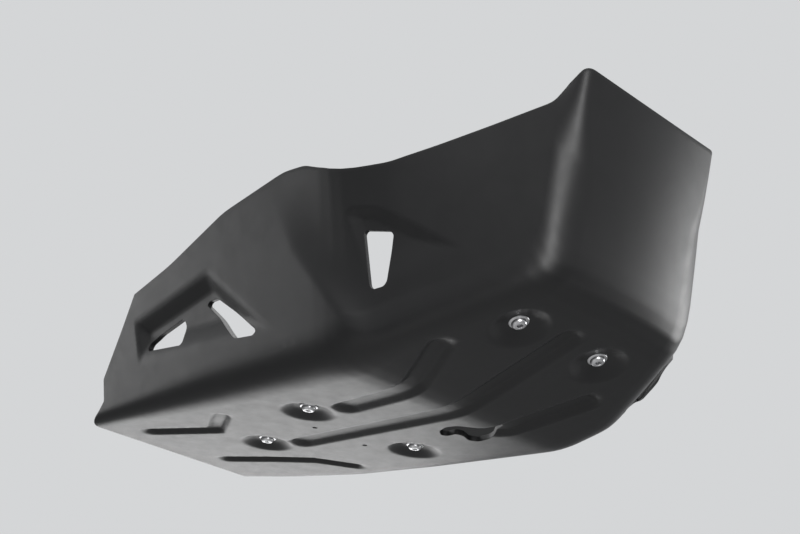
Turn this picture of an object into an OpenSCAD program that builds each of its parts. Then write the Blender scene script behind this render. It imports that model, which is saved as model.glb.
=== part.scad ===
// Moulded plastic engine guard for a motorcycle: a trough with a flat floor,
// a front ramp, a leaning front wall and side walls that rise to the front.
// +X is forward, +Y is the left side, +Z is up. The floor rests on Z = 0.

/* [Shell] */
// wall thickness of the moulding
wall = 5; // [3:0.5:7]
// length of the flat floor along the right side
flat_length = 385; // [340:5:430]
// how far the rear edge runs back from right to left
rear_skew = 18; // [0:1:30]
// horizontal length of the front ramp
ramp_run = 170; // [140:5:200]
// height gained along the ramp
ramp_rise = 62; // [45:1:80]
// height of the front wall above the ramp
front_rise = 176; // [140:2:210]
// how far the front wall leans forward
front_lean = 34; // [10:1:60]
// how far the middle of the front wall bows forward
front_bow = 10; // [0:1:16]
// how far the top edge of the front wall dips in the middle
brow_dip = 10; // [0:1:16]

/* [Widths] */
// half width at the rear end of the floor
rear_half_width = 154; // [140:1:170]
// half width where the ramp begins
middle_half_width = 146; // [135:1:160]
// half width where ramp and front wall meet
nose_half_width = 82; // [70:1:95]
// half width of the front wall at its top
brow_half_width = 88; // [76:1:100]
// outward lean of the side walls in degrees
side_flare = 11; // [5:0.5:16]
// half width the left floor keeps at the rear, beside the stand
stand_half_width = 66; // [50:1:90]

/* [Heights] */
// height of the right wall at its rear edge
tail_height = 119; // [100:1:135]
// height of the right wall at its crest
crest_height = 177; // [160:1:190]
// height of both walls at their waist, ahead of the crest
waist_height = 159; // [145:1:170]
// height of the left wall at its rear edge
stand_height = 56; // [40:1:80]

/* [Blends] */
// corner size along the floor at the rear
rear_corner = 15; // [10:1:20]
// corner size along the ramp and front wall
front_corner = 25; // [18:1:30]
// half length of the bend between ramp and front wall
nose_blend = 28; // [16:1:34]
// depth of the step ahead of the side bulge
bulge_step = 14; // [6:1:18]

/* [Bolts] */
// radius of the threaded shanks
shank_radius = 4; // [3:0.5:5]
// how much wider the plain shoulder under the head is
shoulder_step = 0.5; // [0.3:0.1:1]
// clearance of the holes round the shoulders
shoulder_clearance = 0.4; // [0.2:0.1:0.8]
// length of the threaded shanks beyond the shoulder
shank_length = 20; // [16:1:30]
// radius of the bolt head flanges
flange_radius = 8.75; // [7.5:0.25:10]
// thickness of the bolt head flanges
flange_thickness = 1.8; // [1.2:0.1:2.5]
// radius of the domed heads
dome_radius = 6.8; // [6:0.1:7.3]
// height of the domed heads above the flange
dome_height = 3.4; // [2.8:0.1:3.8]
// width across the flats of the hexagon sockets
socket_width = 5; // [4:0.5:6]
// depth of the sockets
socket_depth = 3.4; // [2.5:0.1:4]
// radius of the bolt dishes at the surface
dish_radius = 26.5; // [22:0.5:28]
// radius of the flat seats in the dishes
seat_radius = 12.5; // [11:0.5:15]
// depth of the bolt dishes
dish_depth = 6.5; // [5.5:0.5:8]
// distance of the middle and front bolts
bolt_reach = 243; // [225:1:250]
// distance of the middle bolts from the rear edge
middle_bolts_x = 255; // [240:1:265]
// half spacing of the middle bolts
middle_half_spacing = 68; // [60:1:74]
// half spacing of the front bolts
front_half_spacing = 50; // [46:1:53]
// rear bolt from the rear edge
rear_bolt_x = 127; // [120:1:132]
// rear bolt from the centre line, toward the right
rear_bolt_offset = 19; // [12:1:24]

/* [Channels] */
// depth of the stiffening channels
channel_depth = 4.5; // [3:0.5:6]
// half width of the long channels
channel_half_width = 12.5; // [10:0.5:14]
// half width of the rear channels
small_half_width = 9; // [7:0.5:10]
// radius of the two small drain holes
drain_radius = 2.5; // [1.5:0.5:3.5]

/* [Vents] */
// depth of the arrowhead recess in the bulge
arrow_depth = 11; // [6:0.5:13]
// depth of the dent round the front window
dent_depth = 4; // [2:0.5:6]
// how far the left front hood stands off the wall
hood_reach = 8; // [6:0.5:11]

/* [Hidden] */

ramp_angle = atan(ramp_rise / ramp_run);
ramp_length = norm([ramp_run, ramp_rise]);
front_length = norm([front_rise, front_lean]);
peak = ramp_rise + front_rise;
rear_x = rear_skew - (flat_length + rear_skew + ramp_run + front_lean + front_bow - 2) / 2;
ramp_x = rear_x + flat_length;
nose_x = ramp_x + ramp_run;
brow_x = nose_x + front_lean;
q_ramp = flat_length;
q_nose = q_ramp + ramp_length;
q_brow = q_nose + front_length;
flare = tan(side_flare);
pod_half_width = rear_half_width - 2;
crest_half_width = pod_half_width + crest_height * flare;

// knots of the guide lines as [station, x, y, z], stations measured along the keel
right_foot = [
    [-200, rear_x - 200, -rear_half_width, 0],
    [0, rear_x, -rear_half_width, 0],
    [q_ramp, ramp_x, -middle_half_width, 0],
    [q_ramp + 40, ramp_x + 38, -middle_half_width + 3, ramp_rise * 0.22],
    [q_nose, nose_x - 3, -nose_half_width, ramp_rise - 2],
    [q_brow, brow_x - 4, -brow_half_width, peak],
    [q_brow + 155, brow_x + 25, -brow_half_width - 4, peak + 152]];
left_foot = [
    [-200, rear_x - 180, stand_half_width - 60, 0],
    [0, rear_x - rear_skew, stand_half_width, 0],
    [50, rear_x + 34, stand_half_width + 26, 0],
    [140, rear_x + 120, stand_half_width + 58, 0],
    [230, rear_x + 215, stand_half_width + 74, 0],
    [q_ramp, ramp_x, middle_half_width + 8, 0],
    [q_ramp + 50, ramp_x + 47, middle_half_width + 14, ramp_rise * 0.27],
    [q_nose, nose_x, nose_half_width + 18, ramp_rise - 2],
    [q_brow, brow_x - 4, brow_half_width, peak],
    [q_brow + 155, brow_x + 25, brow_half_width - 2, peak + 152]];
right_edge = [
    [-200, rear_x - 130, -pod_half_width - 72 * flare, tail_height - 47],
    [0, rear_x + 79, -pod_half_width - tail_height * flare, tail_height],
    [60, rear_x + 143, -pod_half_width - (tail_height + 15) * flare, tail_height + 15],
    [170, rear_x + 234, -crest_half_width + 13 * flare, crest_height - 13],
    [280, rear_x + 326, -crest_half_width, crest_height],
    [330, rear_x + 358, -crest_half_width, crest_height - 3],
    [q_ramp + 5, ramp_x + 15, -crest_half_width + 3, waist_height - 2],
    [q_ramp + 55, ramp_x + 56, -crest_half_width + 22, waist_height + 1],
    [q_ramp + 115, ramp_x + 94, -brow_half_width - 55, waist_height + 15],
    [q_nose, ramp_x + 130, -brow_half_width - 33, peak - 48],
    [q_brow - 45, nose_x + 4, -brow_half_width - 8, peak - 29],
    [q_brow, brow_x - 19, -brow_half_width - 2, peak - 13],
    [q_brow + 155, brow_x + 20, -brow_half_width, peak + 60]];
left_edge = [
    [-200, rear_x - 100, stand_half_width - 6, stand_height - 16],
    [0, rear_x + 40, stand_half_width + 33, stand_height],
    [60, rear_x + 110, stand_half_width + 68, stand_height + 24],
    [170, rear_x + 220, stand_half_width + 102, waist_height - 39],
    [280, rear_x + 320, crest_half_width - 2, waist_height - 4],
    [330, rear_x + 358, crest_half_width + 0.5, waist_height],
    [q_ramp + 5, ramp_x + 15, crest_half_width - 3, waist_height],
    [q_ramp + 55, ramp_x + 56, crest_half_width - 20, waist_height + 1],
    [q_ramp + 115, ramp_x + 94, brow_half_width + 57, waist_height + 15],
    [q_nose, ramp_x + 130, brow_half_width + 35, peak - 48],
    [q_brow - 45, nose_x + 4, brow_half_width + 9, peak - 29],
    [q_brow, brow_x - 19, brow_half_width + 2, peak - 13],
    [q_brow + 155, brow_x + 20, brow_half_width, peak + 60]];

// linear interpolation of one guide line, then the same line with rounded bends
function on_line(q, line) = [for (k = [1:3]) lookup(q, [for (p = line) [p[0], p[k]]])];
function eased(q, line, reach) =
    (on_line(q - reach, line) + 2 * on_line(q - reach / 2, line) + 3 * on_line(q, line)
    + 2 * on_line(q + reach / 2, line) + on_line(q + reach, line)) / 9;
function soft(t) = let (c = max(0, min(1, t))) c * c * (3 - 2 * c);
function bend_reach(q) = q < (q_ramp + q_nose) / 2 ? 14 : nose_blend;
function corner_at(q) =
    lookup(q, [[0, rear_corner], [q_ramp, rear_corner + 5], [q_nose - 90, front_corner], [q_brow, front_corner]]);

// number of spaces down a wall, round a corner and across the floor
wall_steps = 10;
corner_steps = 4;
floor_steps = 6;
last_column = 2 * (wall_steps + corner_steps) + floor_steps;
side_columns = wall_steps + corner_steps;

// how far the side bulge reaches forward at a given height
function bulge_end(z) = rear_x + lookup(z, [[0, 418], [26, 416], [62, 388], [104, 350], [160, 326], [200, 300]]);
function step_in(x, z) =
    bulge_step * soft((x - bulge_end(z) + 8) / 16) * lookup(z, [[2, 0], [16, 1], [60, 0.8], [150, 0]])
    * max(0, min(1, (q_nose - 4 - x + rear_x) / 150));
// how far the right wall's rear edge is cut forward of the floor's rear edge
function tail_cut(z) =
    lookup(z / tail_height, [[0, 0], [0.08, 12], [0.16, 16], [0.35, -2], [0.74, 0], [1, 0]]);

function section(q) =
    let (re = eased(q, right_edge, 14), le = eased(q, left_edge, 14),
        rf = eased(q, right_foot, bend_reach(q)), lf = eased(q, left_foot, bend_reach(q)),
        r1 = min(corner_at(q), 0.45 * norm(re - rf)), r2 = min(corner_at(q), 0.45 * norm(le - lf)),
        across = (lf - rf) / norm(lf - rf),
        ra = rf + r1 * (re - rf) / norm(re - rf), rb = rf + r1 * across,
        lb = lf - r2 * across, la = lf + r2 * (le - lf) / norm(le - lf))
    concat(
        [for (i = [0:wall_steps - 1]) re + (ra - re) * i / wall_steps],
        [for (i = [0:corner_steps]) let (t = i / corner_steps)
            (1 - t) * (1 - t) * ra + 2 * t * (1 - t) * rf + t * t * rb],
        [for (i = [1:floor_steps - 1]) rb + (lb - rb) * i / floor_steps],
        [for (i = [0:corner_steps]) let (t = i / corner_steps)
            (1 - t) * (1 - t) * lb + 2 * t * (1 - t) * lf + t * t * la],
        [for (i = [1:wall_steps]) la + (le - la) * i / wall_steps]);

function shaped(q, column, p) =
    let (middle = max(0, 1 - pow(p[1] / brow_half_width, 2)),
        bow = front_bow * soft((q - q_nose + 36) / 60) * middle,
        dip = brow_dip * soft((q - q_nose) / front_length) * middle,
        tail = column > side_columns ? 0 : tail_cut(p[2]) * pow(max(0, 1 - q / 160), 2),
        inset = column > side_columns ? 0 : step_in(p[0], p[2]))
    [p[0] + bow + tail, p[1] + inset, p[2] - dip];

stations = concat(
    [for (i = [0:19]) (q_ramp - 16) * i / 20],
    [for (i = [0:2]) q_ramp - 16 + 32 * i / 3],
    [for (i = [0:4]) q_ramp + 16 + (ramp_length - nose_blend - 20) * i / 5],
    [for (i = [0:5]) q_nose - nose_blend - 4 + (2 * nose_blend + 12) * i / 6],
    [for (i = [0:6]) q_nose + nose_blend + 8 + (front_length - nose_blend - 8) * i / 6]);
last_row = len(stations) - 1;

outer = [for (q = stations) let (row = section(q)) [for (j = [0:last_column]) shaped(q, j, row[j])]];

function inward(row, column) =
    let (i = max(1, min(last_row - 1, row)), j = max(1, min(last_column - 1, column)),
        n = cross(outer[i + 1][j] - outer[i - 1][j], outer[i][j + 1] - outer[i][j - 1]))
    n / norm(n);
inner = [for (i = [0:last_row]) [for (j = [0:last_column]) outer[i][j] + wall * inward(i, j)]];

module skin() {
    w = last_column + 1;
    n = w * (last_row + 1);
    border = concat(
        [for (j = [0:last_column]) j],
        [for (i = [1:last_row]) i * w + last_column],
        [for (j = [last_column - 1:-1:0]) last_row * w + j],
        [for (i = [last_row - 1:-1:1]) i * w]);
    quads = [for (i = [0:last_row - 1]) for (j = [0:last_column - 1]) i * w + j];
    polyhedron(
        points = concat([for (row = outer) each row], [for (row = inner) each row]),
        faces = concat(
            [for (k = quads) [k, k + w + 1, k + 1]],
            [for (k = quads) [k, k + w, k + w + 1]],
            [for (k = quads) [n + k, n + k + 1, n + k + w + 1]],
            [for (k = quads) [n + k, n + k + w + 1, n + k + w]],
            [for (m = [0:len(border) - 1]) let (a = border[m], b = border[(m + 1) % len(border)]) [a, b, a + n]],
            [for (m = [0:len(border) - 1]) let (a = border[m], b = border[(m + 1) % len(border)]) [b, b + n, a + n]]),
        convexity = 10);
}

// frames of the ramp, of the right bulge and of the side walls near the nose
module on_ramp() {
    translate([ramp_x, 0, 0])
        rotate([0, -ramp_angle, 0])
            children();
}
module on_bulge() {
    translate([rear_x, -pod_half_width, 0])
        rotate([side_flare, 0, 0])
            children();
}

// a strip of even width along a bent line
function side_of(a, b) = [a[1] - b[1], b[0] - a[0]] / norm(b - a);
function strip(path, h) =
    let (n = len(path) - 1,
        start = path[0] + h * (path[0] - path[1]) / norm(path[0] - path[1]) * 0.5,
        end = path[n] + h * (path[n] - path[n - 1]) / norm(path[n] - path[n - 1]) * 0.5,
        s0 = side_of(path[0], path[1]), s1 = side_of(path[n - 1], path[n]),
        mids = [for (i = [1:1:n - 1]) let (a = side_of(path[i - 1], path[i]), b = side_of(path[i], path[i + 1]))
            (a + b) / (1 + a * b)])
    concat(
        [start + s0 * h * 0.6, path[0] + s0 * h],
        [for (i = [1:1:n - 1]) path[i] + mids[i - 1] * h],
        [path[n] + s1 * h, end + s1 * h * 0.6, end - s1 * h * 0.6, path[n] - s1 * h],
        [for (i = [n - 1:-1:1]) path[i] - mids[i - 1] * h],
        [path[0] - s0 * h, start - s0 * h * 0.6]);

module channel(path, h, grow) {
    translate([0, 0, grow > 0 ? wall * 0.8 : -4])
        linear_extrude(grow > 0 ? wall * 0.2 + channel_depth : 4 + channel_depth)
            polygon(strip(path, h + grow));
}

// the channels of the flat floor, then those of the ramp
module floor_channels(grow) {
    translate([rear_x, 0, 0]) {
        channel([[300, -59], [flat_length + 1, -64]], channel_half_width, grow);
        channel([[166, -3], [flat_length + 1, -3]], channel_half_width, grow);
        channel([[378, 60], [flat_length + 1, 62]], channel_half_width, grow);
        channel([[32, 2], [80, 24], [124, 48], [148, 82]], small_half_width, grow);
        channel([[42, -103], [114, -74], [160, -99]], small_half_width, grow);
    }
}
module ramp_channels(grow) {
    on_ramp() {
        channel([[-1, -64], [10, -65], [64, -87]], channel_half_width, grow);
        channel([[-1, -3], [ramp_length - 50, -3]], channel_half_width - 0.7, grow);
        channel([[-1, 62], [10, 63], [74, 88]], channel_half_width, grow);
    }
}

// places a shape at each of the five bolts, with +Z pointing into the shell
module at_bolts() {
    for (side = [-1, 1])
        translate([rear_x + middle_bolts_x, side * middle_half_spacing, 0])
            children();
    translate([rear_x + rear_bolt_x, -rear_bolt_offset, 0])
        children();
    on_ramp()
        for (side = [-1, 1])
            translate([(middle_bolts_x + bolt_reach - flat_length) / cos(ramp_angle), side * front_half_spacing, 0])
                children();
}

module dish_pad() {
    translate([0, 0, wall / 2])
        cylinder(r1 = dish_radius + wall, r2 = seat_radius + wall, h = dish_depth + wall / 2, $fn = 48);
}
module dish_cut() {
    translate([0, 0, -dish_depth / 2])
        cylinder(r1 = 1.5 * dish_radius - 0.5 * seat_radius, r2 = seat_radius, h = 1.5 * dish_depth, $fn = 48);
    cylinder(r = shank_radius + shoulder_step + shoulder_clearance, h = dish_depth + 2 * wall, $fn = 48);
}

// the arrowhead recess as a block, pushed in by a depth and grown by a margin
module arrow_block(depth, grow) {
    hull() {
        on_bulge() {
            for (p = [[84, 91], [207, 115], [313, 34], [96, 49]])
                translate([p[0], grow > 0 ? grow * 0.7 : -3, p[1]])
                    cube(0.3);
            for (p = [[93 - grow, 78 + grow], [209, 96 + grow], [290 + grow, 38], [101 - grow, 52 - grow]])
                translate([p[0], (p[1] > 60 ? depth : depth * 0.45) - 0.3, p[1]])
                    cube(0.3);
        }
    }
}
module vents() {
    on_bulge()
        rotate([90, 0, 0])
            translate([0, 0, -arrow_depth - 3 * wall])
                linear_extrude(arrow_depth + 5 * wall) {
                    polygon([[157, 82], [162, 75], [164, 57], [161, 54], [107, 58], [103, 61], [104, 66], [118, 73]]);
                    polygon([[196, 87], [200, 90], [213, 90], [279, 48], [281, 45], [277, 42], [250, 44]]);
                }
}

// frame of the right wall beside the ramp, +X along it, +Y into the shell
module on_window() {
    translate([ramp_x + 40, -middle_half_width - 2.7, 83])
        rotate([side_flare + 4.5, 0, 27])
            children();
}
module window() {
    on_window()
        rotate([90, 0, 0])
            translate([0, 0, -45])
                linear_extrude(90)
                    polygon([[-12, 25], [10, 23], [13, 20], [9, -19], [6, -23], [-4, -25], [-7, -22], [-14, 22]]);
}
// the shallow dent round the window, deepest under its two creases
module dent_block(depth, grow) {
    hull()
        on_window() {
            for (p = [[-34, 40], [-26, 47], [10, 44], [34, 30], [84, 6], [-4, -32], [-14, -12]])
                translate([p[0], grow > 0 ? grow * 0.6 : -6, p[1]])
                    cube(0.3);
            for (p = [[-27 - grow, 36 + grow], [6, 38 + grow], [34, 22], [-11 - grow, -8]])
                translate([p[0], depth - 0.3, p[1]])
                    cube(0.3);
        }
}

// the hood on the left wall near the nose, open along its lower edge
module on_hood() {
    translate([nose_x - 44, nose_half_width + 42, 66])
        rotate([-side_flare, 0, -29])
            children();
}
module hood_body() {
    hull()
        on_hood() {
            for (p = [[-74, -30], [10, 2], [8, 38], [-52, 28]])
                translate([p[0], -wall * 0.7, p[1]])
                    cube(0.3);
            for (p = [[-66, -27], [2, 7]])
                translate([p[0], hood_reach, p[1]])
                    cube(0.3);
        }
}
module hood_hollow() {
    hull()
        on_hood() {
            for (p = [[-62, -34], [2, -2], [0, 26], [-46, 14]])
                translate([p[0], -3 * wall, p[1]])
                    cube(0.3);
            for (p = [[-61, -40], [-2, -8], [-4, 5], [-58, -24]])
                translate([p[0], hood_reach - 0.6 * wall, p[1]])
                    cube(0.3);
        }
}

module drain_opening() {
    translate([rear_x, 0, -1])
        linear_extrude(wall + channel_depth + 3)
            polygon([[320, 41], [328, 31], [343, 25], [356, 27], [363, 36], [371, 44], [383, 47], [384, 58],
                [368, 64], [354, 71], [338, 73], [332, 66], [338, 52], [336, 45], [323, 46]]);
}
module drains() {
    for (side = [-1, 1])
        translate([rear_x + 221, side * 32, -1])
            cylinder(r = drain_radius, h = wall + 2, $fn = 24);
}

module guard_shell() {
    color([0.07, 0.07, 0.075])
        difference() {
            union() {
                skin();
                floor_channels(wall);
                ramp_channels(wall);
                at_bolts()
                    dish_pad();
                arrow_block(arrow_depth + wall, wall);
                dent_block(dent_depth + wall, wall);
                hood_body();
            }
            floor_channels(0);
            ramp_channels(0);
            at_bolts()
                dish_cut();
            arrow_block(arrow_depth, 0);
            dent_block(dent_depth, 0);
            hood_hollow();
            vents();
            window();
            drain_opening();
            drains();
        }
}

module bolt() {
    difference() {
        union() {
            translate([0, 0, dish_depth - flange_thickness])
                cylinder(r = flange_radius, h = flange_thickness, $fn = 48);
            translate([0, 0, dish_depth - flange_thickness - dome_height])
                cylinder(r1 = dome_radius * 0.66, r2 = dome_radius, h = dome_height, $fn = 48);
            translate([0, 0, dish_depth])
                cylinder(r = shank_radius + shoulder_step, h = wall + 1, $fn = 48);
            translate([0, 0, dish_depth + wall + 1])
                cylinder(r = shank_radius, h = shank_length, $fn = 48);
        }
        translate([0, 0, dish_depth - flange_thickness - dome_height - 1])
            cylinder(r = socket_width / sqrt(3), h = socket_depth + 1, $fn = 6);
    }
}
module mounting_bolts() {
    color([0.75, 0.75, 0.77])
        at_bolts()
            bolt();
}

guard_shell();
mounting_bolts();
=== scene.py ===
"""A moulded engine guard with its five bolts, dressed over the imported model."""

import math

import bmesh
import bpy
import numpy as np
from mathutils import Matrix, Vector


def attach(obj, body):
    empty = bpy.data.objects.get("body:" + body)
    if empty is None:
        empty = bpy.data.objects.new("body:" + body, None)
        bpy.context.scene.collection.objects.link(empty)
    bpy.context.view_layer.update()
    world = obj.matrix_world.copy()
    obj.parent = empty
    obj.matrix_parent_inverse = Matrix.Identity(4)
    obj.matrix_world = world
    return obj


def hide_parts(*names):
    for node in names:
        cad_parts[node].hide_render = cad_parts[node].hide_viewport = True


bl_info = {
    "name": "Moulded engine guard",
    "version": (1, 0, 0),
    "blender": (4, 5, 0),
    "location": "View3D > Sidebar > Engine guard",
    "description": "Builds a moulded engine guard with its bolts over a packed model",
    "category": "Object",
}

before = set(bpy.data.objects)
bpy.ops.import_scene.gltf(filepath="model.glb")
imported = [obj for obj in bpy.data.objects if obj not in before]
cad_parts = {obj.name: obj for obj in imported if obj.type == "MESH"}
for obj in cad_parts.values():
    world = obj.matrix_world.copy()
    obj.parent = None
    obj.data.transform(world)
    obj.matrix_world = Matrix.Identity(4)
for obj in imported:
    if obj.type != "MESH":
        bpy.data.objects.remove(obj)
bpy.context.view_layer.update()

# Plan sizes of the shell in millimetres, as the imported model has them.
FLAT, REAR_SKEW, RAMP_RUN, RAMP_RISE = 385, 18, 170, 62
FRONT_RISE, FRONT_LEAN, FRONT_BOW, BROW_DIP = 176, 34, 10, 10
REAR_HALF, MIDDLE_HALF, NOSE_HALF, BROW_HALF, STAND_HALF = 154, 146, 82, 88, 66
TAIL, CREST, WAIST, STAND = 119, 177, 159, 56
REAR_X = REAR_SKEW - (FLAT + REAR_SKEW + RAMP_RUN + FRONT_LEAN + FRONT_BOW - 2) / 2
RAMP_X = REAR_X + FLAT
NOSE_X = RAMP_X + RAMP_RUN
BROW_X = NOSE_X + FRONT_LEAN
RAMP_ANGLE = math.atan(RAMP_RISE / RAMP_RUN)
RAMP_LENGTH = math.hypot(RAMP_RUN, RAMP_RISE)
PEAK = RAMP_RISE + FRONT_RISE
Q_RAMP = FLAT
Q_NOSE = Q_RAMP + RAMP_LENGTH
Q_BROW = Q_NOSE + math.hypot(FRONT_RISE, FRONT_LEAN)
SIDE_FLARE = 11
FLARE = math.tan(math.radians(SIDE_FLARE))
POD_HALF = REAR_HALF - 2
CREST_HALF = POD_HALF + CREST * FLARE

RIGHT_FOOT = [
    (-200, REAR_X - 200, -REAR_HALF, 0), (0, REAR_X, -REAR_HALF, 0), (Q_RAMP, RAMP_X, -MIDDLE_HALF, 0),
    (Q_RAMP + 40, RAMP_X + 38, -MIDDLE_HALF + 3, RAMP_RISE * 0.22),
    (Q_NOSE, NOSE_X - 3, -NOSE_HALF, RAMP_RISE - 2), (Q_BROW, BROW_X - 4, -BROW_HALF, PEAK),
    (Q_BROW + 155, BROW_X + 25, -BROW_HALF - 4, PEAK + 152)]
LEFT_FOOT = [
    (-200, REAR_X - 180, STAND_HALF - 60, 0), (0, REAR_X - REAR_SKEW, STAND_HALF, 0),
    (50, REAR_X + 34, STAND_HALF + 26, 0), (140, REAR_X + 120, STAND_HALF + 58, 0),
    (230, REAR_X + 215, STAND_HALF + 74, 0), (Q_RAMP, RAMP_X, MIDDLE_HALF + 8, 0),
    (Q_RAMP + 50, RAMP_X + 47, MIDDLE_HALF + 14, RAMP_RISE * 0.27),
    (Q_NOSE, NOSE_X, NOSE_HALF + 18, RAMP_RISE - 2), (Q_BROW, BROW_X - 4, BROW_HALF, PEAK),
    (Q_BROW + 155, BROW_X + 25, BROW_HALF - 2, PEAK + 152)]
RIGHT_EDGE = [
    (-200, REAR_X - 130, -POD_HALF - 72 * FLARE, TAIL - 47),
    (0, REAR_X + 79, -POD_HALF - TAIL * FLARE, TAIL),
    (60, REAR_X + 143, -POD_HALF - (TAIL + 15) * FLARE, TAIL + 15),
    (170, REAR_X + 234, -CREST_HALF + 13 * FLARE, CREST - 13), (280, REAR_X + 326, -CREST_HALF, CREST),
    (330, REAR_X + 358, -CREST_HALF, CREST - 3), (Q_RAMP + 5, RAMP_X + 15, -CREST_HALF + 3, WAIST - 2),
    (Q_RAMP + 55, RAMP_X + 56, -CREST_HALF + 22, WAIST + 1),
    (Q_RAMP + 115, RAMP_X + 94, -BROW_HALF - 55, WAIST + 15),
    (Q_NOSE, RAMP_X + 130, -BROW_HALF - 33, PEAK - 48),
    (Q_BROW - 45, NOSE_X + 4, -BROW_HALF - 8, PEAK - 29), (Q_BROW, BROW_X - 19, -BROW_HALF - 2, PEAK - 13),
    (Q_BROW + 155, BROW_X + 20, -BROW_HALF, PEAK + 60)]
LEFT_EDGE = [
    (-200, REAR_X - 100, STAND_HALF - 6, STAND - 16), (0, REAR_X + 40, STAND_HALF + 33, STAND),
    (60, REAR_X + 110, STAND_HALF + 68, STAND + 24), (170, REAR_X + 220, STAND_HALF + 102, WAIST - 39),
    (280, REAR_X + 320, CREST_HALF - 2, WAIST - 4), (330, REAR_X + 358, CREST_HALF + 0.5, WAIST),
    (Q_RAMP + 5, RAMP_X + 15, CREST_HALF - 3, WAIST), (Q_RAMP + 55, RAMP_X + 56, CREST_HALF - 20, WAIST + 1),
    (Q_RAMP + 115, RAMP_X + 94, BROW_HALF + 57, WAIST + 15),
    (Q_NOSE, RAMP_X + 130, BROW_HALF + 35, PEAK - 48),
    (Q_BROW - 45, NOSE_X + 4, BROW_HALF + 9, PEAK - 29), (Q_BROW, BROW_X - 19, BROW_HALF + 2, PEAK - 13),
    (Q_BROW + 155, BROW_X + 20, BROW_HALF, PEAK + 60)]

# Channel centre lines: of the floor from the rear edge, then of the ramp from its foot, with half widths.
FLOOR_CHANNELS = [
    ([(300, -59), (386, -64)], 12.5), ([(166, -3), (386, -3)], 12.5), ([(378, 60), (386, 62)], 12.5),
    ([(32, 2), (80, 24), (124, 48), (148, 82)], 9), ([(42, -103), (114, -74), (160, -99)], 9)]
RAMP_CHANNELS = [
    ([(-1, -64), (10, -65), (64, -87)], 12.5), ([(-1, -3), (RAMP_LENGTH - 50, -3)], 12.2),
    ([(-1, 62), (10, 63), (74, 88)], 12.5)]

# The arrowhead recess and its vents, from the rear edge and up the right wall.
ARROW = [(80, 96), (208, 121), (322, 33), (93, 42)]
ARROW_SLOPES = [24, 21, 34, 14]
REAR_VENT = [(157, 82), (162, 75), (164, 57), (161, 54), (107, 58), (103, 61), (104, 66), (118, 73)]
FRONT_VENT = [(196, 87), (200, 90), (213, 90), (279, 48), (281, 45), (277, 42), (250, 44)]
# The dent and the window near the nose, in the window's own frame.
DENT = [(-34, 40), (-26, 47), (10, 44), (34, 30), (84, 6), (-4, -32), (-14, -12)]
DENT_SLOPES = [14, 12, 15, 16, 34, 22, 14]
WINDOW = [(-12, 25), (10, 23), (13, 20), (9, -19), (6, -23), (-4, -25), (-7, -22), (-14, 22)]
# The drain opening in the floor, from the rear edge.
DRAIN = [
    (320, 41), (328, 31), (343, 25), (356, 27), (363, 36), (371, 44), (383, 47), (384, 58),
    (368, 64), (354, 71), (338, 73), (332, 66), (338, 52), (336, 45), (323, 46)]
# The hood on the left wall near the nose, and the eight corners of its mouth, in the hood's own frame.
HOOD = [(-75, -33), (11, 0), (8, 38), (-52, 28)]
HOOD_SLOPES = [4, 12, 26, 14]
HOOD_MOUTH = [
    (-62, -15, -34), (2, -15, -2), (0, -15, 26), (-46, -15, 14),
    (-61, 5, -40), (-2, 5, -8), (-4, 5, 5), (-58, 5, -24)]
SMALL_HOLES_X, SMALL_HOLES_HALF_SPACING, SMALL_HOLE_RADIUS = 221, 32, 2.5
SHOULDER_HOLE_RADIUS = 4.9

# Radius of the corner between wall and floor along the guard, as (stations, radii).
CORNER_RADII = ([0, 110, 210, Q_RAMP, Q_NOSE - 60, Q_BROW], [13, 22, 30, 34, 26, 24])
# Where the rear bulge ends, how long its roll is and how much of it is left, each by height.
BULGE_ENDS = ([0, 26, 62, 104, 160, 200], [418, 417, 392, 361, 342, 320])
BULGE_ROLLS = ([30, 100, 160], [46, 78, 110])
BULGE_SHARES = ([2, 16, 60, 110, 165], [0, 1, 0.85, 0.5, 0])
BULGE_ROLL_START = 0.34
# The shape of the right wall's rear edge: how far it is set forward, by share of the tail's height.
TAIL_SETS = ([0, 0.08, 0.16, 0.35, 0.74, 1], [0, 12, 16, -2, 0, 0])
TAIL_LENGTH = 160
REAR_LIMIT = -305.5

# Offsets from a channel's half width where the sheet gets edges, outside first; width of its slope.
CHANNEL_CUTS = (1.9, 0.3, -4.6, -6.6)
CHANNEL_SLOPE = 6.5
RECESS_CUTS = (0, 0.35, 0.8, 1)
DISH_FLOOR_RADIUS = 12.5
INNER_GROWTH = 2.6
RIM_ANGLE, SHELL_SHARP_ANGLE, BOLT_SHARP_ANGLE = 60, 38, 32

# One bolt in millimetres: radii of its flange, head, shoulder and thread, then its heights.
FLANGE_RADIUS, HEAD_RADIUS, SHOULDER_RADIUS, THREAD_RADIUS, ROOT_RADIUS = 8.75, 6.8, 4.5, 4.0, 3.55
HEAD_HEIGHT, FLANGE_HEIGHT, SHOULDER_LENGTH, BOLT_REACH, PITCH = 3.4, 1.8, 6, 26, 1.25
SOCKET_RADIUS, SOCKET_DEPTH = 5 / math.sqrt(3), 3.4

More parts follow.
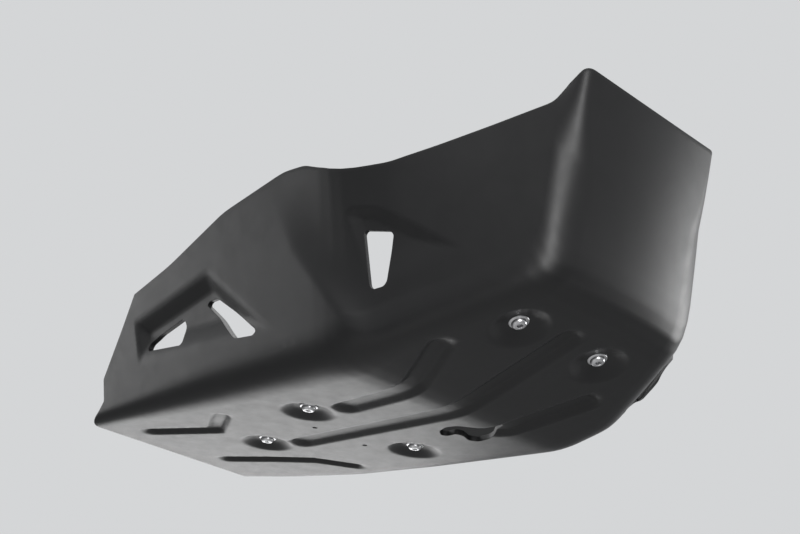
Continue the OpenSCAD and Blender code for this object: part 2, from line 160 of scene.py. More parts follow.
# Lamps: name, place, aim, size (all in metres) and power in watts.
LAMPS = (
    ("over", (0.2, -1.3, 1.9), (0, -0.1, 0.1), (1.6, 1.2), 9),
    ("bulge side", (-1.9, -1.15, 0.3), (-0.25, -0.15, 0.1), (0.8, 1.0), 6),
    ("corner strip", (1.46, -0.84, 0.05), (0.28, -0.08, 0.12), (0.6, 1.4), 26),
    ("left front", (0.8, 1.75, 0.15), (0.28, 0.08, 0.12), (0.7, 1.2), 22),
    ("rear left", (-2.0, 1.2, -0.68), (-0.1, 0, 0), (1.3, 1.1), 13),
    ("rear", (-2.3, 0.3, 0.5), (-0.1, 0, 0), (1.0, 1.0), 6),
    ("under", (0.1, -1.3, -1.3), (0, 0, 0), (1.6, 1.2), 2),
    ("inside", (-0.4, 0.2, 1.8), (0, 0, 0), (1.2, 1.2), 16))
WORLD_LIGHT, WORLD_STRENGTH, WORLD_SEEN = (0.9, 0.92, 0.95), 0.28, (0.66, 0.67, 0.68)
FLOOR_Z, FLOOR_SIZE = -2.1, 14

# The camera: place in metres, azimuth, elevation and roll in degrees, and its lens.
CAMERA_AT = (0.86099, -0.73173, -0.3232)
CAMERA_TURN = (49.973, -23.317, 7.066)
SENSOR_WIDTH = 36
LENS = SENSOR_WIDTH * 1245.611 / 800


def placed(at, *turns):
    """A frame at a point in millimetres, turned by (degrees, axis) pairs, outermost first."""
    out = Matrix.Translation(Vector(at))
    for angle, axis in turns:
        out = out @ Matrix.Rotation(math.radians(angle), 4, axis)
    return out


ON_FLOOR = placed((REAR_X, 0, 0))
ON_RAMP = placed((RAMP_X, 0, 0), (-math.degrees(RAMP_ANGLE), "Y"))
ON_BULGE = placed((REAR_X, -POD_HALF, 0), (SIDE_FLARE, "X"))
ON_WINDOW = placed((RAMP_X + 40, -MIDDLE_HALF - 2.7, 83), (27, "Z"), (SIDE_FLARE + 4.5, "X"))
ON_HOOD = placed((NOSE_X - 44, NOSE_HALF + 42, 66), (-29, "Z"), (-SIDE_FLARE, "X"))
FRONT_BOLT_U = (255 + 243 - FLAT) / math.cos(RAMP_ANGLE)
BOLTS = [
    ON_FLOOR @ Matrix.Translation((255, -68, 0)), ON_FLOOR @ Matrix.Translation((255, 68, 0)),
    ON_FLOOR @ Matrix.Translation((127, -19, 0)),
    ON_RAMP @ Matrix.Translation((FRONT_BOLT_U, -50, 0)), ON_RAMP @ Matrix.Translation((FRONT_BOLT_U, 50, 0))]


def soft(t):
    """A smooth step from 0 to 1."""
    c = np.clip(t, 0, 1)
    return c * c * (3 - 2 * c)


def follow(q, line, reach):
    """Points of a guide line at the stations q, with its bends rounded over a reach."""
    knots = np.array(line, float)
    steps = ((1, -1), (2, -0.5), (3, 0), (2, 0.5), (1, 1))
    return sum(
        w * np.stack([np.interp(q + s * reach, knots[:, 0], knots[:, k]) for k in (1, 2, 3)], -1)
        for w, s in steps) / 9


def side_points(edge, foot, across, radius, wall, corner):
    """One wall from its edge down to the floor, with its rounded foot."""
    down = edge - foot
    length = np.linalg.norm(down, axis=1)
    r = np.minimum(radius, 0.45 * length)[:, None]
    high, low = foot + r * down / length[:, None], foot + r * across
    rows = [edge + (high - edge) * i / wall for i in range(wall)]
    for i in range(corner + 1):
        t = i / corner
        rows.append((1 - t) ** 2 * high + 2 * t * (1 - t) * foot + t * t * low)
    return rows, low


def shell_surface(q, wall, corner, floor, step):
    """The outer skin without its channels, as a grid of points, and its inward normals."""
    # Guide lines of the two edges and the two feet, more rounded where the ramp begins.
    near = (q < (Q_RAMP + Q_NOSE) / 2)[:, None]
    bend = soft((60 - abs(q - Q_RAMP)) / 30)[:, None]
    right_edge = follow(q, RIGHT_EDGE, 14) * (1 - bend) + follow(q, RIGHT_EDGE, 34) * bend
    left_edge = follow(q, LEFT_EDGE, 14)
    right_foot = follow(q, RIGHT_FOOT, 28)
    left_foot = np.where(near, follow(q, LEFT_FOOT, 14), follow(q, LEFT_FOOT, 28))

    radius = np.interp(q, *CORNER_RADII)
    across = (left_foot - right_foot) / np.linalg.norm(left_foot - right_foot, axis=1)[:, None]
    right, start = side_points(right_edge, right_foot, across, radius, wall, corner)
    left, end = side_points(left_edge, left_foot, -across, radius, wall, corner)
    middle = [start + (end - start) * i / floor for i in range(1, floor)]
    grid = np.stack(right + middle + left[::-1], 1)
    x, y, z = grid[..., 0].copy(), grid[..., 1].copy(), grid[..., 2].copy()
    station, column = q[:, None], np.arange(grid.shape[1])[None, :]

    # The front face bows out and its brow dips in the middle.
    mid = np.maximum(0, 1 - (y / BROW_HALF) ** 2)
    grid[..., 0] += FRONT_BOW * soft((station - Q_NOSE + 36) / 60) * mid
    grid[..., 2] -= BROW_DIP * soft((station - Q_NOSE) / (Q_BROW - Q_NOSE)) * mid

    # The rear edge of the right wall is set forward near the floor.
    side = column <= wall + corner
    tail = np.interp(z / TAIL, *TAIL_SETS)
    grid[..., 0] += np.where(side, tail * np.maximum(0, 1 - station / TAIL_LENGTH) ** 2, 0)

    # In front of the bulge the wall steps in, with a roll that fades round the corner.
    fade = np.interp(z, *BULGE_SHARES) * np.clip((Q_NOSE - 4 - x + REAR_X) / 150, 0, 1)
    fade = fade * (1 - soft((column - wall + 1) / corner))
    roll = np.interp(z, *BULGE_ROLLS)
    along = np.clip((x - REAR_X - np.interp(z, *BULGE_ENDS) + BULGE_ROLL_START * roll) / roll, 0, 1)
    grid[..., 1] += np.where(side, step * soft(1 - (1 - along) ** 2) * fade, 0)

    inward = np.cross(np.gradient(grid, axis=0), np.gradient(grid, axis=1))
    return grid, inward / np.linalg.norm(inward, axis=2)[..., None]


def slope(t, lip, foot):
    """A straight slope from 0 to 1 with a rounded lip and foot, as shares of its width."""
    if t <= -lip or t >= 1 + foot:
        return 0.0 if t < 0.5 else 1.0
    out = t
    if t < lip:
        out = (t + lip) ** 2 / (4 * lip)
    elif t > 1 - foot:
        out = 1 - (1 + foot - t) ** 2 / (4 * foot)
    return out


def beside_plane(w, near, far):
    """1 close to a plane, fading to 0 away from it."""
    return 1 - float(soft((abs(w) - near) / (far - near)))


def to_line(u, v, path):
    """Distance of a point from a bent line."""
    best = 1e9
    for (ax, ay), (bx, by) in zip(path, path[1:]):
        ex, ey = bx - ax, by - ay
        t = max(0.0, min(1.0, ((u - ax) * ex + (v - ay) * ey) / (ex * ex + ey * ey)))
        best = min(best, math.hypot(u - ax - t * ex, v - ay - t * ey))
    return best


def blend_least(values, reach=0.22):
    """The least of several values, with the corner between close ones rounded."""
    out = values[0]
    for v in values[1:]:
        h = max(reach - abs(out - v), 0) / reach
        out = min(out, v) - h * h * reach * 0.25
    return out


def sides_of(outline):
    """The lines of an outline as (point, inward normal)."""
    n = len(outline)
    pairs = [(outline[i], outline[(i + 1) % n]) for i in range(n)]
    area = sum(ax * by - bx * ay for (ax, ay), (bx, by) in pairs)
    s = 1 if area > 0 else -1
    out = []
    for (ax, ay), (bx, by) in pairs:
        length = math.hypot(bx - ax, by - ay)
        out.append(((ax, ay), (-s * (by - ay) / length, s * (bx - ax) / length)))
    return out


def sunk(u, v, outline, slopes, grow=0.0):
    """Share of a recess's depth at a point: 0 at its lip, 1 on its floor."""
    shares = [
        ((u - p[0]) * n[0] + (v - p[1]) * n[1] + grow) / w
        for (p, n), w in zip(sides_of(outline), slopes)]
    if min(shares) <= 0:
        return 0.0
    return max(0.0, min(1.0, blend_least([min(s, 1.3) for s in shares] + [1.0])))


def cut_along(bm, place, lines, keep):
    """Puts edges into the sheet along lines, each a (point, normal) in the frame's own plane."""
    back = place.inverted()
    for point, normal, test in lines:
        faces = [f for f in bm.faces if keep(f.calc_center_median()) and test(back @ f.calc_center_median())]
        if not faces:
            continue
        geom = list({v for f in faces for v in f.verts}) + list({e for f in faces for e in f.edges}) + faces
        bmesh.ops.bisect_plane(
            bm, geom=geom, dist=1e-4, plane_co=place @ Vector(point), plane_no=place.to_3x3() @ Vector(normal))


def prism(bm, place, outline, low, high, axis="Z"):
    """A closed bar of the given outline, through the wall."""
    def at(p, w):
        return place @ (Vector((p[0], p[1], w)) if axis == "Z" else Vector((p[0], w, p[1])))
    face = bm.faces.new([bm.verts.new(at(p, low)) for p in outline])
    out = bmesh.ops.extrude_face_region(bm, geom=[face], use_keep_orig=True)
    lift = at((0, 0), high) - at((0, 0), low)
    bmesh.ops.translate(bm, verts=[g for g in out["geom"] if isinstance(g, bmesh.types.BMVert)], vec=lift)


def rounded(outline, radius, steps=4):
    """An outline with its corners rounded."""
    n, out = len(outline), []
    for i in range(n):
        a, p, b = (Vector(outline[(i + k) % n]) for k in (-1, 0, 1))
        r = min(radius, 0.42 * (a - p).length, 0.42 * (b - p).length)
        s, e = p + (a - p).normalized() * r, p + (b - p).normalized() * r
        for k in range(steps + 1):
            t = k / steps
            out.append(tuple((1 - t) ** 2 * s + 2 * t * (1 - t) * p + t * t * e))
    return out


def add_object(mesh, name):
    """An object for a mesh, linked to the scene."""
    obj = bpy.data.objects.new(name, mesh)
    bpy.context.scene.collection.objects.link(obj)
    return obj


def finish_edges(mesh, angle):
    """Smooth shading, with edges over an angle in degrees left sharp."""
    mesh.shade_smooth()
    mesh.set_sharp_from_angle(angle=math.radians(angle))


def nodes_of(material):
    """A material's node tree and its shader."""
    material.use_nodes = True
    tree = material.node_tree
    shader = next(n for n in tree.nodes if n.type == "BSDF_PRINCIPLED")
    return tree, shader


def plastic_material(finish):
    """Satin black moulded plastic with a fine grain and slight changes of tone and gloss."""
    m = bpy.data.materials.new("satin_moulding")
    tree, shader = nodes_of(m)
    new, link = tree.nodes.new, tree.links.new
    where = new("ShaderNodeTexCoord")
    grain = new("ShaderNodeTexNoise")
    grain.inputs["Scale"].default_value = 2200
    grain.inputs["Detail"].default_value = 2
    link(where.outputs["Object"], grain.inputs["Vector"])
    cloud = new("ShaderNodeTexNoise")
    cloud.inputs["Scale"].default_value = 9
    cloud.inputs["Detail"].default_value = 5
    link(where.outputs["Object"], cloud.inputs["Vector"])
    scuff = new("ShaderNodeTexNoise")
    scuff.inputs["Scale"].default_value = 60
    scuff.inputs["Detail"].default_value = 6
    scuff.inputs["Roughness"].default_value = 0.7
    link(where.outputs["Object"], scuff.inputs["Vector"])
    tone = new("ShaderNodeValToRGB")
    dark, pale = finish.moulding_dark, finish.moulding_pale
    tone.color_ramp.elements[0].position, tone.color_ramp.elements[0].color = 0.25, (*dark, 1)
    tone.color_ramp.elements[1].position, tone.color_ramp.elements[1].color = 0.8, (*pale, 1)
    link(cloud.outputs["Fac"], tone.inputs["Fac"])
    link(tone.outputs["Color"], shader.inputs["Base Color"])
    gloss = new("ShaderNodeMapRange")
    gloss.inputs["From Min"].default_value, gloss.inputs["From Max"].default_value = 0.3, 0.75
    gloss.inputs["To Min"].default_value = finish.moulding_gloss - 0.03
    gloss.inputs["To Max"].default_value = finish.moulding_gloss + 0.05
    link(scuff.outputs["Fac"], gloss.inputs["Value"])
    link(gloss.outputs["Result"], shader.inputs["Roughness"])
    bump = new("ShaderNodeBump")
    bump.inputs["Strength"].default_value = 0.22
    bump.inputs["Distance"].default_value = 0.0002
    link(grain.outputs["Fac"], bump.inputs["Height"])
    edge = new("ShaderNodeBevel")
    edge.samples = 4
    edge.inputs["Radius"].default_value = 0.0009
    link(edge.outputs["Normal"], bump.inputs["Normal"])
    link(bump.outputs["Normal"], shader.inputs["Normal"])
    shader.inputs["Specular IOR Level"].default_value = 0.31
    return m


def steel_material(finish):
    """Satin stainless steel with fine turned marks."""
    m = bpy.data.materials.new("satin_stainless")
    tree, shader = nodes_of(m)
    new, link = tree.nodes.new, tree.links.new
    where = new("ShaderNodeTexCoord")
    marks = new("ShaderNodeTexNoise")
    marks.inputs["Scale"].default_value = 900
    marks.inputs["Detail"].default_value = 3
    link(where.outputs["Object"], marks.inputs["Vector"])
    tone = new("ShaderNodeValToRGB")
    c = finish.steel_colour
    tone.color_ramp.elements[0].color = (*[v * 0.82 for v in c], 1)
    tone.color_ramp.elements[1].color = (*c, 1)
    link(marks.outputs["Fac"], tone.inputs["Fac"])
    link(tone.outputs["Color"], shader.inputs["Base Color"])
    shader.inputs["Metallic"].default_value = 1
    gloss = new("ShaderNodeMapRange")
    gloss.inputs["To Min"].default_value, gloss.inputs["To Max"].default_value = 0.24, 0.36
    link(marks.outputs["Fac"], gloss.inputs["Value"])
    link(gloss.outputs["Result"], shader.inputs["Roughness"])
    bump = new("ShaderNodeBump")
    bump.inputs["Strength"].default_value = 0.1
    bump.inputs["Distance"].default_value = 0.0001
    link(marks.outputs["Fac"], bump.inputs["Height"])
    link(bump.outputs["Normal"], shader.inputs["Normal"])
    return m


class GuardSizes(bpy.types.PropertyGroup):
    """Sizes of the moulded guard that a user may change."""

    wall: bpy.props.FloatProperty(
        name="Wall", description="Thickness of the moulded wall", default=0.005, min=0.003, max=0.007,
        subtype="DISTANCE", unit="LENGTH")
    bulge_step: bpy.props.FloatProperty(
        name="Bulge step", description="How far the rear bulge stands out of the right wall", default=0.014,
        min=0, max=0.02, subtype="DISTANCE", unit="LENGTH")
    channel_depth: bpy.props.FloatProperty(
        name="Channel depth", description="Depth of the stiffening channels", default=0.0045, min=0.002,
        max=0.006, subtype="DISTANCE", unit="LENGTH")
    arrow_depth: bpy.props.FloatProperty(
        name="Recess depth", description="Depth of the arrowhead recess", default=0.009, min=0.004, max=0.013,
        subtype="DISTANCE", unit="LENGTH")
    dent_depth: bpy.props.FloatProperty(
        name="Dent depth", description="Depth of the dent round the window", default=0.0038, min=0.001,
        max=0.006, subtype="DISTANCE", unit="LENGTH")
    hood_reach: bpy.props.FloatProperty(
        name="Hood reach", description="How far the hood stands off the left wall", default=0.008, min=0.004,
        max=0.011, subtype="DISTANCE", unit="LENGTH")
    dish_radius: bpy.props.FloatProperty(
        name="Dish radius", description="Radius of the dishes round the bolts", default=0.0265, min=0.02,
        max=0.028, subtype="DISTANCE", unit="LENGTH")
    dish_depth: bpy.props.FloatProperty(
        name="Dish depth", description="Depth of the dishes round the bolts", default=0.0065, min=0.005,
        max=0.008, subtype="DISTANCE", unit="LENGTH")
    cell: bpy.props.FloatProperty(
        name="Cell", description="Spacing of the shell's mesh", default=0.0042, min=0.003, max=0.01,
        subtype="DISTANCE", unit="LENGTH")
    edge_round: bpy.props.FloatProperty(
        name="Edge round", description="Rounding of the wall's cut edges", default=0.0006, min=0.0002,
        max=0.0015, subtype="DISTANCE", unit="LENGTH")


class GuardFinish(bpy.types.PropertyGroup):
    """Colours and gloss of the guard and its bolts."""

    moulding_dark: bpy.props.FloatVectorProperty(
        name="Dark tone", description="Darker tone of the plastic", default=(0.0055, 0.0055, 0.0058),
        subtype="COLOR", min=0, max=1)
    moulding_pale: bpy.props.FloatVectorProperty(
        name="Pale tone", description="Paler tone of the plastic", default=(0.0085, 0.0085, 0.009),
        subtype="COLOR", min=0, max=1)
    moulding_gloss: bpy.props.FloatProperty(
        name="Roughness", description="Roughness of the plastic", default=0.4, min=0.1, max=0.9)
    steel_colour: bpy.props.FloatVectorProperty(
        name="Steel", description="Colour of the bolts", default=(0.62, 0.62, 0.63),
        subtype="COLOR", min=0, max=1)


class GUARD_OT_shell(bpy.types.Operator):
    """Builds the moulded shell with its channels, dishes, recesses and openings"""

    bl_idname = "guard.shell"
    bl_label = "Moulded shell"

    def execute(self, context):
        sizes, finish = context.scene.guard_sizes, context.scene.guard_finish
        bm = self.sheet(sizes)
        self.feature_lines(bm, sizes)
        self.thicken(bm, sizes)
        mesh = bpy.data.meshes.new("shell")
        bm.to_mesh(mesh)
        bm.free()
        mesh.transform(Matrix.Scale(0.001, 4))
        shell = add_object(mesh, "shell")
        self.openings(shell, sizes)
        finish_edges(shell.data, SHELL_SHARP_ANGLE)
        shell.data.materials.append(plastic_material(finish))
        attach(shell, "root")
        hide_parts("guard_shell")
        return {"FINISHED"}

    def sheet(self, sizes):
        """The outer skin as a bent grid in millimetres; each vertex keeps the way into the shell."""
        cell = sizes.cell * 1000
        wall, corner, floor = round(172 / cell), round(30 / cell), round(292 / cell)
        bends = [0, Q_RAMP - 16, Q_RAMP + 16, Q_NOSE - 32, Q_NOSE + 36, Q_BROW]
        steps = [cell, cell * 0.9, cell, cell * 0.85, cell]
        parts = [np.linspace(a, b, max(2, round((b - a) / s)), endpoint=False)
                 for a, b, s in zip(bends, bends[1:], steps)]
        q = np.concatenate(parts + [[Q_BROW]])
        grid, inward = shell_surface(q, wall, corner, floor, sizes.bulge_step * 1000)
        rows, columns = grid.shape[:2]
        bm = bmesh.new()
        bmesh.ops.create_grid(bm, x_segments=rows - 1, y_segments=columns - 1, size=0.5)
        way = bm.verts.layers.float_vector.new("inward")
        for v in bm.verts:
            i = round((v.co.x + 0.5) * (rows - 1))
            j = round((v.co.y + 0.5) * (columns - 1))
            v.co, v[way] = grid[i, j], inward[i, j]
        bm.normal_update()
        return bm

    def feature_lines(self, bm, sizes):
        """Edges along the lips and feet of the channels and recesses, and finer cells in the dishes."""
        def under(c):
            return c.z < 75 and abs(c.y) < 150
        for place, channels in ((ON_FLOOR, FLOOR_CHANNELS), (ON_RAMP, RAMP_CHANNELS)):
            for path, half in channels:
                for (ax, ay), (bx, by) in zip(path, path[1:]):
                    length = math.hypot(bx - ax, by - ay)
                    nx, ny = -(by - ay) / length, (bx - ax) / length
                    ex, ey = ny, -nx

                    def beside(c, ax=ax, ay=ay, nx=nx, ny=ny, ex=ex, ey=ey, length=length, half=half):
                        s, t = (c.x - ax) * nx + (c.y - ay) * ny, (c.x - ax) * ex + (c.y - ay) * ey
                        return abs(c.z) < 12 and abs(s) < half + 9 and -half * 0.6 < t < length + half * 0.6
                    offsets = [side * (half + cut) for side in (-1, 1) for cut in CHANNEL_CUTS]
                    lines = [((ax + nx * h, ay + ny * h, 0), (nx, ny, 0), beside) for h in offsets]
                    cut_along(bm, place, lines, under)
        for place, outline, slopes in ((ON_BULGE, ARROW, ARROW_SLOPES), (ON_WINDOW, DENT, DENT_SLOPES)):
            lines = []
            for (p, n), w in zip(sides_of(outline), slopes):
                def close(c, p=p, n=n, w=w):
                    inside = all((c.x - a[0]) * m[0] + (c.z - a[1]) * m[1] > -7 for a, m in sides_of(outline))
                    return inside and abs(c.y) < 40 and -6 < (c.x - p[0]) * n[0] + (c.z - p[1]) * n[1] < w + 7
                for step in (w * share for share in RECESS_CUTS):
                    lines.append(((p[0] + n[0] * step, 0, p[1] + n[1] * step), (n[0], 0, n[1]), close))
            cut_along(bm, place, lines, lambda c: c.y < -60)
        for place in BOLTS:
            back = place.inverted()
            reach = sizes.dish_radius * 1000 + 4
            edges = [e for e in bm.edges
                     if all((back @ v.co).length < reach for v in e.verts)]
            bmesh.ops.subdivide_edges(bm, edges=edges, cuts=1, use_grid_fill=True)

    def depth_at(self, co, sizes, grow):
        """How far a point of the skin is pushed in, in millimetres; grow widens it for the inner skin."""
        deep = 0.0
        if co.z < 85 and abs(co.y) < 150:
            for place, channels in ((ON_FLOOR, FLOOR_CHANNELS), (ON_RAMP, RAMP_CHANNELS)):
                c = place.inverted() @ co
                fade = beside_plane(c.z, 3, 9)
                if fade == 0:
                    continue
                for path, half in channels:
                    d = to_line(c.x, c.y, path)
                    if d < half + 4 + grow:
                        share = slope((half + 1.1 + grow - d) / CHANNEL_SLOPE, 0.14, 0.16)
                        deep = max(deep, share * fade * sizes.channel_depth * 1000)
            for place in BOLTS:
                c = place.inverted() @ co
                r = math.hypot(c.x, c.y)
                outer = sizes.dish_radius * 1000 + grow
                if abs(c.z) < 9 and r < outer + 2:
                    share = slope((outer - r) / (outer - DISH_FLOOR_RADIUS - grow), 0.1, 0.3)
                    deep = max(deep, share * sizes.dish_depth * 1000)
        if co.y < -60:
            c = ON_BULGE.inverted() @ co
            inside = sunk(c.x, c.z, ARROW, ARROW_SLOPES, grow) * beside_plane(c.y, 8, 16)
            if inside > 0:
                floor = 0.42 + 0.58 * float(soft((c.z - 30) / 46))
                deep = max(deep, slope(inside * 1.42 - 0.32, 0.32, 0.1) * floor * sizes.arrow_depth * 1000)
            c = ON_WINDOW.inverted() @ co
            inside = sunk(c.x, c.z, DENT, DENT_SLOPES, grow) * beside_plane(c.y, 5, 12)
            if inside > 0:
                deep = max(deep, slope(inside * 1.45 - 0.25, 0.25, 0.2) * sizes.dent_depth * 1000)
        if co.y > 60:
            c = ON_HOOD.inverted() @ co
            inside = sunk(c.x, c.z, HOOD, HOOD_SLOPES, 0) * beside_plane(c.y, 8, 14)
            if inside > 0:
                deep = min(deep, -float(soft(inside)) * max(0.0, sizes.hood_reach * 1000 - c.y))
        return deep

    def thicken(self, bm, sizes):
        """Presses the features in, then gives the skin its inner side and its rim."""
        way = bm.verts.layers.float_vector["inward"]
        wall = sizes.wall * 1000
        ends = []
        for v in bm.verts:
            n = Vector(v[way]).normalized()
            near = self.depth_at(v.co, sizes, 0)
            far = wall + self.depth_at(v.co, sizes, INNER_GROWTH)
            ends.append((v.co + n * near, v.co + n * far))
        kept = bm.verts.layers.float_vector.new("far")
        lip = bm.verts.layers.int.new("lip")
        for v in bm.verts:
            v[lip] = v.is_boundary
        for v, (near, far) in zip(bm.verts, ends):
            v.co, v[kept] = near, far
        out = bmesh.ops.extrude_face_region(bm, geom=bm.faces[:], use_keep_orig=True)
        for v in out["geom"]:
            if isinstance(v, bmesh.types.BMVert):
                v.co = v[kept]
        bmesh.ops.recalc_face_normals(bm, faces=bm.faces[:])
        if bm.calc_volume(signed=True) < 0:
            bmesh.ops.reverse_faces(bm, faces=bm.faces[:])
        bm.normal_update()
        rim = [
            e for e in bm.edges
            if all(v[lip] for v in e.verts) and len(e.link_faces) == 2
            and e.calc_face_angle(0) > math.radians(RIM_ANGLE)]
        bmesh.ops.bevel(
            bm, geom=rim, offset=sizes.edge_round * 1000, offset_type="OFFSET", segments=2, profile=0.5,
            affect="EDGES", clamp_overlap=False, material=-1)
        for v in bm.verts:
            v.co.x = max(v.co.x, REAR_LIMIT)

    def openings(self, shell, sizes):
        """Cuts the vents, the window, the drain opening, the hood's mouth and the holes."""
        bm = bmesh.new()
        for outline in (REAR_VENT, FRONT_VENT):
            prism(bm, ON_BULGE, rounded(outline, 4), -20, 34, "Y")
        prism(bm, ON_WINDOW, rounded(WINDOW, 3), -45, 45, "Y")
        prism(bm, ON_FLOOR, rounded(DRAIN, 5), -6, 16)
        holes = [(bolt, SHOULDER_HOLE_RADIUS) for bolt in BOLTS]
        for side in (-1, 1):
            at = Matrix.Translation((SMALL_HOLES_X, side * SMALL_HOLES_HALF_SPACING, 0))
            holes.append((ON_FLOOR @ at, SMALL_HOLE_RADIUS))
        for place, radius in holes:
            bmesh.ops.create_cone(
                bm, cap_ends=True, segments=48, radius1=radius, radius2=radius, depth=50, matrix=place)
        corners = [bm.verts.new(ON_HOOD @ Vector(p)) for p in HOOD_MOUTH]
        bmesh.ops.convex_hull(bm, input=corners)
        bmesh.ops.recalc_face_normals(bm, faces=bm.faces[:])
        mesh = bpy.data.meshes.new("openings")
        bm.to_mesh(mesh)
        bm.free()
        mesh.transform(Matrix.Scale(0.001, 4))
        tool = add_object(mesh, "openings")
        cut = shell.modifiers.new("openings", "BOOLEAN")
        cut.operation, cut.solver, cut.object = "DIFFERENCE", "EXACT", tool
        bpy.context.view_layer.update()
        graph = bpy.context.evaluated_depsgraph_get()
        done = bpy.data.meshes.new_from_object(shell.evaluated_get(graph))
        shell.modifiers.clear()
        old, shell.data = shell.data, done
        bpy.data.meshes.remove(old)
        bpy.data.objects.remove(tool)


class GUARD_OT_bolts(bpy.types.Operator):
    """Builds the five flanged button head bolts"""

    bl_idname = "guard.bolts"
    bl_label = "Mounting bolts"

    def execute(self, context):
        sizes, finish = context.scene.guard_sizes, context.scene.guard_finish
        seat = sizes.dish_depth * 1000
        one = self.one_bolt(seat)
        whole = bmesh.new()
        for place in BOLTS:
            part = one.copy()
            part.transform(Matrix.Scale(0.001, 4) @ place)
            whole.from_mesh(part)
        mesh = bpy.data.meshes.new("bolts")
        whole.to_mesh(mesh)
        whole.free()
        finish_edges(mesh, BOLT_SHARP_ANGLE)
        bolts = add_object(mesh, "bolts")
        bolts.data.materials.append(steel_material(finish))
        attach(bolts, "root")
        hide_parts("mounting_bolts")
        return {"FINISHED"}

    def one_bolt(self, seat):
        """One bolt in millimetres, its axis on Z and its head toward the outside."""
        top = seat - FLANGE_HEIGHT - HEAD_HEIGHT
        foot = top + HEAD_HEIGHT
        profile = [
            (0, top), (4.2, top), (5.1, top + 0.25), (6.0, top + 1.1), (6.55, top + 2.1), (6.75, top + 3.0),
            (HEAD_RADIUS, foot), (HEAD_RADIUS + 0.5, foot + 0.15), (FLANGE_RADIUS - 0.45, foot + 0.3),
            (FLANGE_RADIUS, foot + 0.7), (FLANGE_RADIUS, seat - 0.3), (FLANGE_RADIUS - 0.3, seat),
            (SHOULDER_RADIUS, seat), (SHOULDER_RADIUS, seat + SHOULDER_LENGTH - 0.3),
            (SHOULDER_RADIUS - 0.3, seat + SHOULDER_LENGTH)]
        z = seat + SHOULDER_LENGTH + 0.2
        while z < seat + BOLT_REACH - 1.6:
            profile += [
                (THREAD_RADIUS, z), (THREAD_RADIUS, z + 0.25), (ROOT_RADIUS, z + 0.62), (ROOT_RADIUS, z + 0.87)]
            z += PITCH
        profile += [(3.3, seat + BOLT_REACH), (0, seat + BOLT_REACH)]
        bm = bmesh.new()
        points = [bm.verts.new((r, 0, h)) for r, h in profile]
        edges = [bm.edges.new(pair) for pair in zip(points, points[1:])]
        bmesh.ops.spin(
            bm, geom=points + edges, cent=(0, 0, 0), axis=(0, 0, 1), angle=2 * math.pi, steps=40, use_merge=True)
        bmesh.ops.remove_doubles(bm, verts=bm.verts[:], dist=1e-4)
        bmesh.ops.recalc_face_normals(bm, faces=bm.faces[:])
        mesh = bpy.data.meshes.new("bolt")
        bm.to_mesh(mesh)
        bm.free()
        body = add_object(mesh, "bolt")
        bm = bmesh.new()
        bmesh.ops.create_cone(
            bm, cap_ends=True, segments=6, radius1=SOCKET_RADIUS, radius2=SOCKET_RADIUS, depth=SOCKET_DEPTH + 1,
            matrix=Matrix.Translation((0, 0, top + (SOCKET_DEPTH - 1) / 2)))
        bmesh.ops.create_cone(
            bm, cap_ends=True, segments=6, radius1=SOCKET_RADIUS + 0.55, radius2=SOCKET_RADIUS - 0.15,
            depth=0.9, matrix=Matrix.Translation((0, 0, top + 0.1)))
        tools = bpy.data.meshes.new("socket")
        bm.to_mesh(tools)
        bm.free()
        tool = add_object(tools, "socket")
        cut = body.modifiers.new("socket", "BOOLEAN")
        cut.operation, cut.solver, cut.object, cut.use_self = "DIFFERENCE", "EXACT", tool, True
        bpy.context.view_layer.update()
        done = bpy.data.meshes.new_from_object(body.evaluated_get(bpy.context.evaluated_depsgraph_get()))
        for extra in (body, tool):
            bpy.data.objects.remove(extra)
        return done


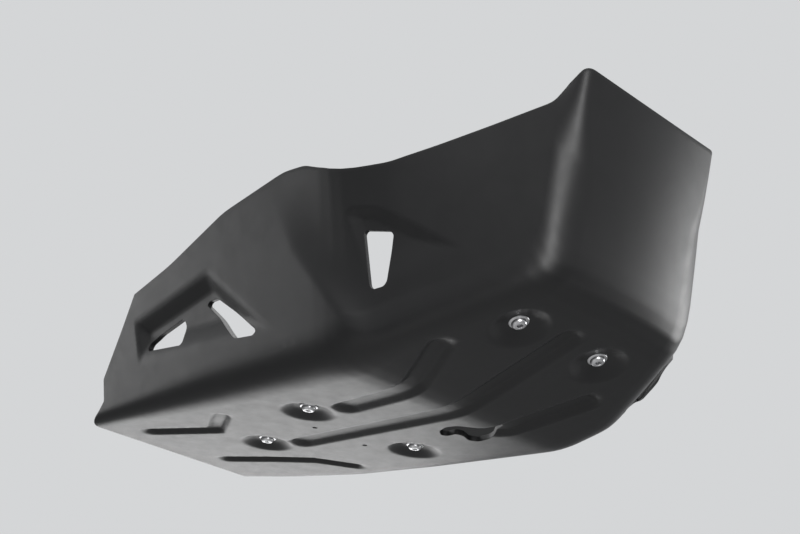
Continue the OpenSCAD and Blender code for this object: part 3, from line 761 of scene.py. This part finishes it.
class GUARD_OT_stage(bpy.types.Operator):
    """Sets the pale floor, the soft lamps and the camera"""

    bl_idname = "guard.stage"
    bl_label = "Stage"

    def execute(self, context):
        scene = context.scene
        scene.view_settings.view_transform = "Standard"
        self.floor()
        self.lamps(scene)
        self.camera(scene)
        return {"FINISHED"}

    def floor(self):
        """A plain pale floor, low enough to keep the views from below clear."""
        bm = bmesh.new()
        bmesh.ops.create_grid(bm, x_segments=2, y_segments=2, size=FLOOR_SIZE)
        bmesh.ops.translate(bm, verts=bm.verts[:], vec=(0, 0, FLOOR_Z))
        mesh = bpy.data.meshes.new("floor")
        bm.to_mesh(mesh)
        bm.free()
        m = bpy.data.materials.new("pale_floor")
        tree, shader = nodes_of(m)
        speck = tree.nodes.new("ShaderNodeTexNoise")
        speck.inputs["Scale"].default_value = 4
        tone = tree.nodes.new("ShaderNodeValToRGB")
        tone.color_ramp.elements[0].color = (0.74, 0.74, 0.74, 1)
        tone.color_ramp.elements[1].color = (0.8, 0.8, 0.79, 1)
        tree.links.new(speck.outputs["Fac"], tone.inputs["Fac"])
        tree.links.new(tone.outputs["Color"], shader.inputs["Base Color"])
        shader.inputs["Roughness"].default_value = 0.9
        mesh.materials.append(m)
        add_object(mesh, "floor")

    def lamps(self, scene):
        """The even world light, its pale ground as seen and reflected, and the soft lamps."""
        world = bpy.data.worlds.new("studio")
        scene.world = world
        world.use_nodes = True
        tree = world.node_tree
        ground = next(n for n in tree.nodes if n.type == "BACKGROUND")
        out = next(n for n in tree.nodes if n.type == "OUTPUT_WORLD")
        ground.inputs["Color"].default_value = (*WORLD_LIGHT, 1)
        ground.inputs["Strength"].default_value = WORLD_STRENGTH
        seen = tree.nodes.new("ShaderNodeBackground")
        seen.inputs["Color"].default_value = (*WORLD_SEEN, 1)
        seen.inputs["Strength"].default_value = 1
        path = tree.nodes.new("ShaderNodeLightPath")
        mix = tree.nodes.new("ShaderNodeMixShader")
        glossy, every = (tree.nodes.new("ShaderNodeMath") for _ in range(2))
        glossy.operation = every.operation = "MAXIMUM"
        tree.links.new(path.outputs["Is Camera Ray"], glossy.inputs[0])
        tree.links.new(path.outputs["Is Glossy Ray"], glossy.inputs[1])
        tree.links.new(glossy.outputs["Value"], every.inputs[0])
        tree.links.new(path.outputs["Is Transmission Ray"], every.inputs[1])
        tree.links.new(every.outputs["Value"], mix.inputs["Fac"])
        tree.links.new(ground.outputs["Background"], mix.inputs[1])
        tree.links.new(seen.outputs["Background"], mix.inputs[2])
        tree.links.new(mix.outputs["Shader"], out.inputs["Surface"])
        for name, at, aim, size, power in LAMPS:
            lamp = bpy.data.lights.new(name, "AREA")
            lamp.shape, lamp.energy = "RECTANGLE", power
            lamp.size, lamp.size_y = size
            obj = bpy.data.objects.new(name, lamp)
            obj.location = at
            obj.rotation_mode = "QUATERNION"
            obj.rotation_quaternion = (Vector(aim) - Vector(at)).to_track_quat("-Z", "Y")
            scene.collection.objects.link(obj)

    def camera(self, scene):
        """The camera, looking up at the right front corner."""
        az, el, roll = (math.radians(v) for v in CAMERA_TURN)
        back = Vector((math.sin(az) * math.cos(el), -math.cos(az) * math.cos(el), math.sin(el)))
        level = Vector((math.cos(az), math.sin(az), 0))
        upright = back.cross(level)
        right = math.cos(roll) * level + math.sin(roll) * upright
        up = math.cos(roll) * upright - math.sin(roll) * level
        lens = bpy.data.cameras.new("view")
        lens.sensor_width, lens.lens = SENSOR_WIDTH, LENS
        lens.clip_start, lens.clip_end = 0.01, 50
        cam = bpy.data.objects.new("view", lens)
        turn = Matrix((right, up, back)).transposed().to_4x4()
        cam.matrix_world = Matrix.Translation(CAMERA_AT) @ turn
        scene.collection.objects.link(cam)
        scene.camera = cam


class GUARD_PT_panel(bpy.types.Panel):
    """Lists the guard's pieces, sizes and finishes"""

    bl_idname = "GUARD_PT_panel"
    bl_label = "Engine guard"
    bl_space_type = "VIEW_3D"
    bl_region_type = "UI"
    bl_category = "Engine guard"

    def draw(self, context):
        column = self.layout.column()
        for group in (context.scene.guard_sizes, context.scene.guard_finish):
            for name in group.bl_rna.properties.keys():
                if name not in ("rna_type", "name"):
                    column.prop(group, name)
        for operator in (GUARD_OT_shell, GUARD_OT_bolts, GUARD_OT_stage):
            column.operator(operator.bl_idname)


CLASSES = (GuardSizes, GuardFinish, GUARD_OT_shell, GUARD_OT_bolts, GUARD_OT_stage, GUARD_PT_panel)


def register():
    for c in CLASSES:
        bpy.utils.register_class(c)
    bpy.types.Scene.guard_sizes = bpy.props.PointerProperty(type=GuardSizes)
    bpy.types.Scene.guard_finish = bpy.props.PointerProperty(type=GuardFinish)


def unregister():
    del bpy.types.Scene.guard_finish
    del bpy.types.Scene.guard_sizes
    for c in reversed(CLASSES):
        bpy.utils.unregister_class(c)


def main():
    register()
    bpy.ops.guard.shell()
    bpy.ops.guard.bolts()
    bpy.ops.guard.stage()


if __name__ == "__main__":
    main()
